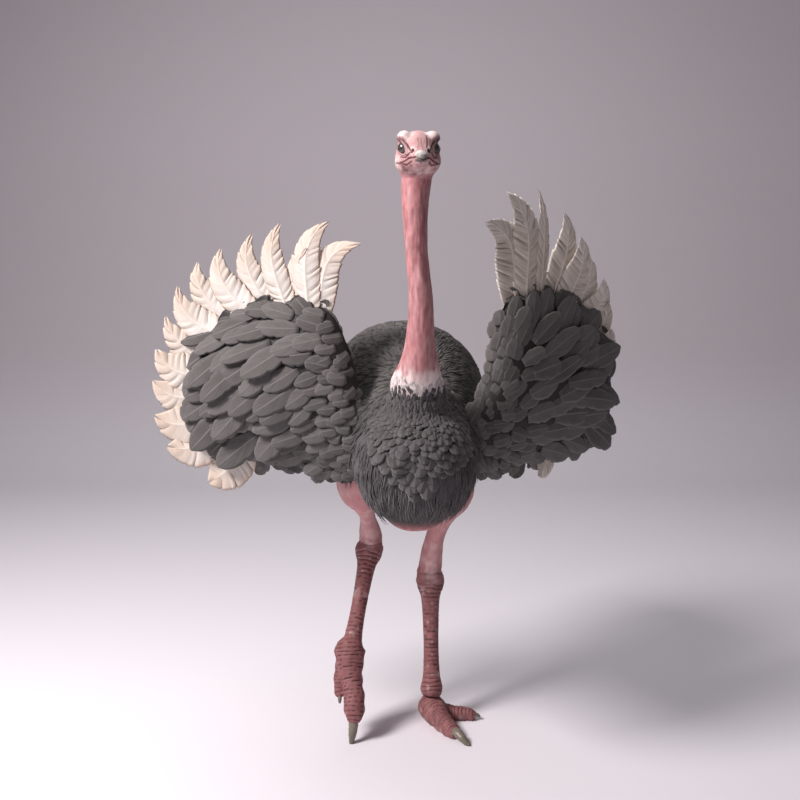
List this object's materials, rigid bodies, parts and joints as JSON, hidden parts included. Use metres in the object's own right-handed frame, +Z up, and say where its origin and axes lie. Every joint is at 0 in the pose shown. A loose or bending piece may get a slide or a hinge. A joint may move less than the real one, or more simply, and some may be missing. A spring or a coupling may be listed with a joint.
{
  "type": "ostrich",
  "caption": "Life-size adult ostrich standing mid-stride with head up, both wings raised and spread, grey body feathers, pale wing plumes and bare pink legs and neck.",
  "frame": {"origin": "On the floor, midway between the bird's extents to left and right and to front and back.", "axes": "+Z up, -Y the way the bird faces, +X the bird's left side."},
  "size_m": [1.803, 1.4324, 2.336],
  "materials": {
    "skin": "bare pink skin, soft and finely wrinkled",
    "scaled_skin": "darker brick-pink skin with hard cross scales",
    "bill_horn": "pale grey horn, smooth",
    "claw_horn": "olive-grey horn, dull",
    "eye": "dark wet eye, glossy",
    "body_feather": "matt mid-grey feathers",
    "plume": "cream plumes with tan edges"
  },
  "bodies": {
    "root": {"trunk": "body_feather", "neck": "skin", "head": "skin", "bill_upper": "bill_horn", "bill_lower": "bill_horn", "eye_left": "eye", "eye_right": "eye", "tail": "plume", "wing_left": "body_feather", "wing_right": "body_feather", "thigh_left": "skin", "thigh_right": "skin", "shank_left": "scaled_skin", "shank_right": "scaled_skin", "foot_left": "scaled_skin", "foot_right": "scaled_skin", "claw_left": "claw_horn", "claw_right": "claw_horn", "nail_left": "claw_horn", "nail_right": "claw_horn"}
  },
  "joints": []
}
